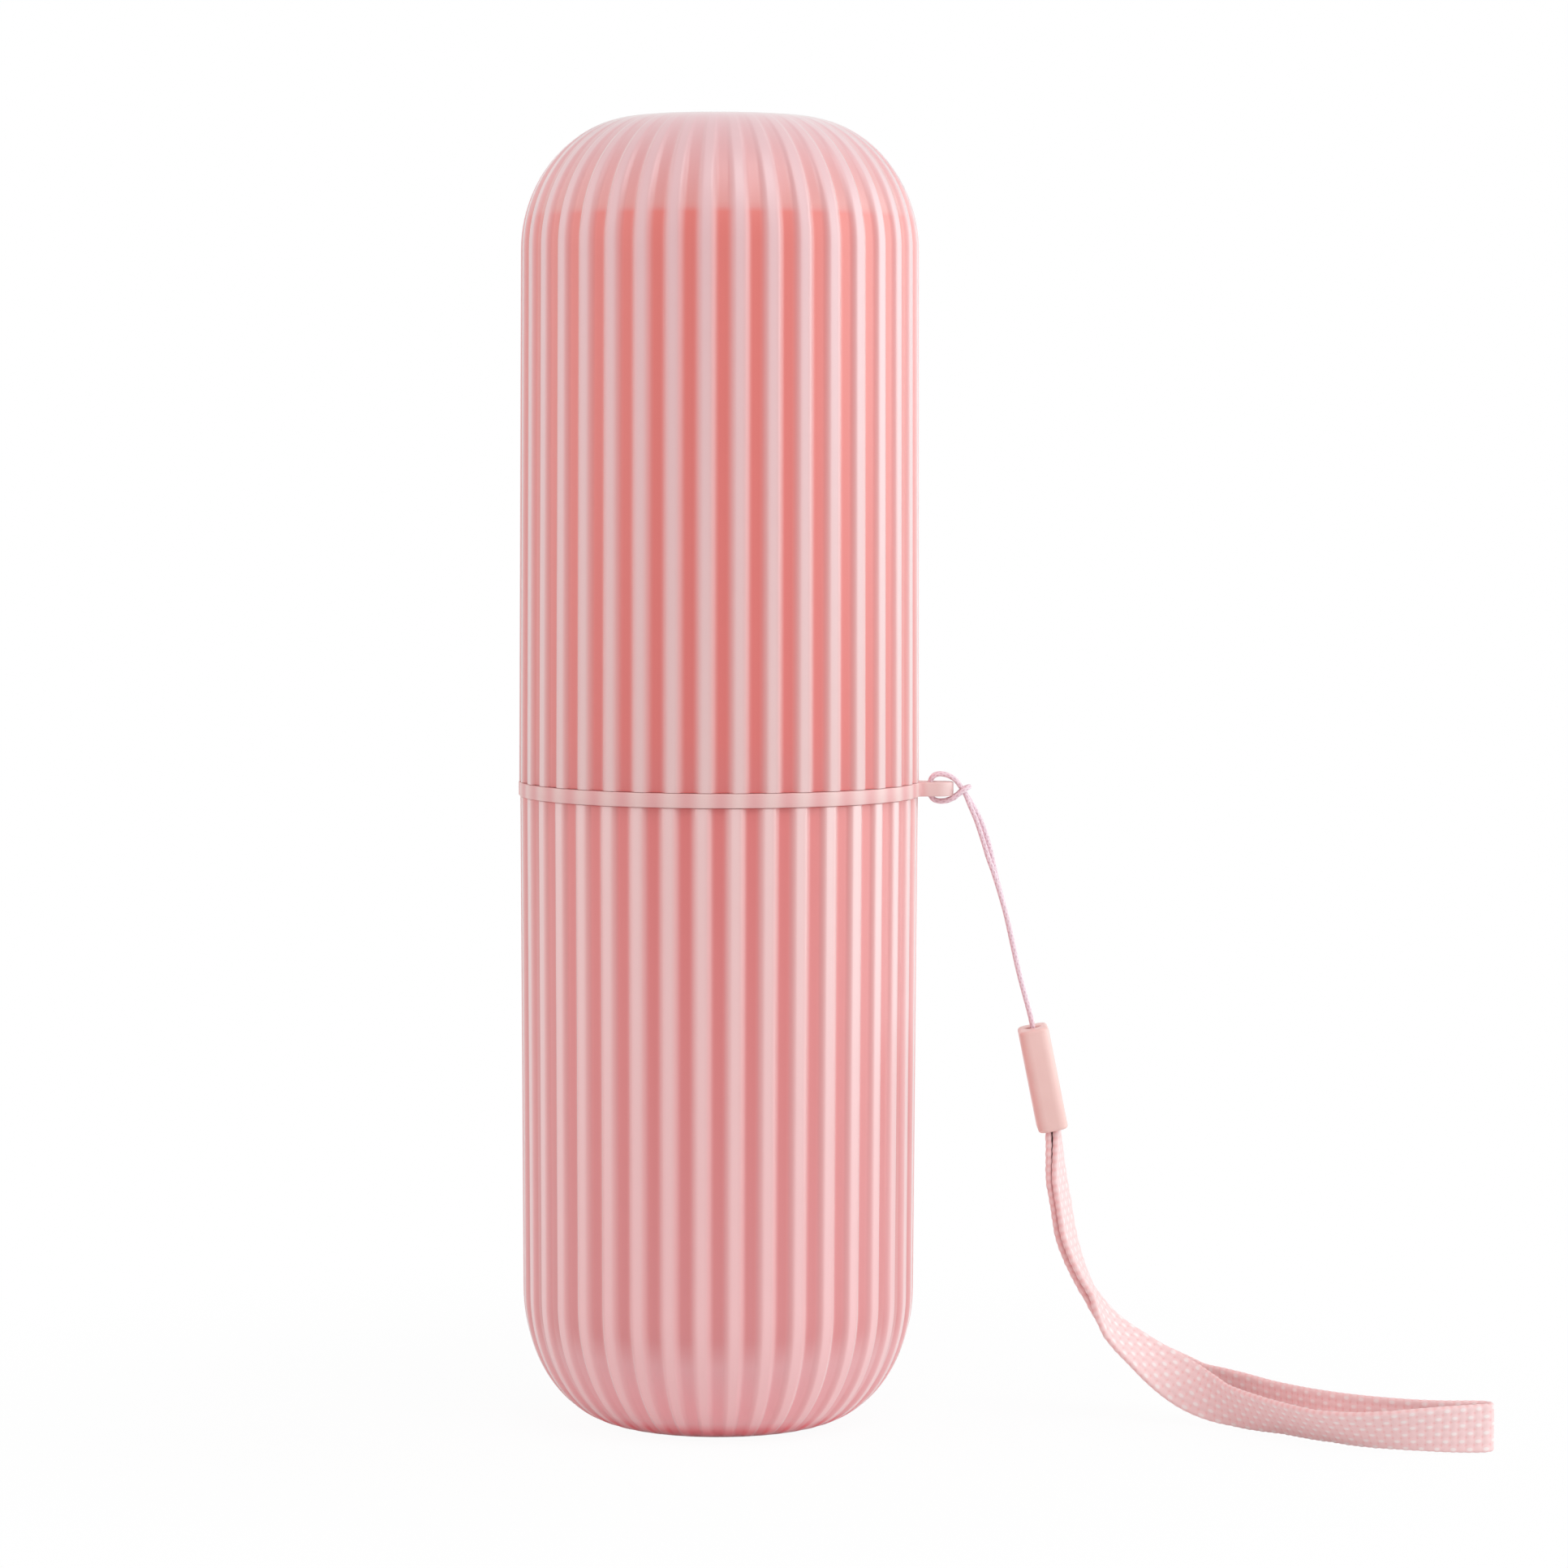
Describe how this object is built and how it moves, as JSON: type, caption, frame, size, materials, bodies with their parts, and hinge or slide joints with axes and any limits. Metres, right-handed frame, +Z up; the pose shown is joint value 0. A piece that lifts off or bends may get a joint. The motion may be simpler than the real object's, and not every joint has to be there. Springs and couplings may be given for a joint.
{
  "type": "travel toothbrush case",
  "caption": "Ribbed capsule travel case in two pull-apart halves, with a swivel ring at the seam that carries a wrist lanyard.",
  "frame": {"origin": "centre of the base, on the surface that the case stands on", "axes": "+Z up the case's axis, +X towards the lug and the lanyard, -Y towards the viewer"},
  "size_m": [0.1442, 0.0602, 0.196],
  "materials": {
    "ribbed_shell": "frosted pale pink moulded plastic",
    "coral_liner": "satin coral moulded plastic",
    "ring_plastic": "satin pink moulded plastic",
    "lanyard_cord": "fine braided cord",
    "sleeve_plastic": "satin pink moulded plastic",
    "strap_webbing": "flat woven webbing"
  },
  "bodies": {
    "lower_cup": {"lower_shell": "ribbed_shell", "lower_liner": "coral_liner"},
    "cover": {"upper_shell": "ribbed_shell", "upper_liner": "coral_liner"},
    "swivel": {"strap_ring": "ring_plastic", "cord_hitch": "lanyard_cord"},
    "lanyard": {"cord_strand_left": "lanyard_cord", "cord_strand_right": "lanyard_cord", "cord_knot": "lanyard_cord", "strap_sleeve": "sleeve_plastic", "wrist_strap": "strap_webbing"}
  },
  "joints": [
    {"name": "cover_pull", "type": "slide", "parent": "lower_cup", "child": "cover", "axis": [0, 0, 1], "range_m": [0, 0.11]},
    {"name": "ring_swivel", "type": "hinge", "parent": "lower_cup", "child": "swivel", "pos_m": [0, 0, 0.0957], "axis": [0, 0, 1], "continuous": true},
    {"name": "lanyard_swing", "type": "hinge", "parent": "swivel", "child": "lanyard", "pos_m": [0.0368, 0, 0.0957], "axis": [0, -1, 0], "range_deg": [0, 110]}
  ]
}
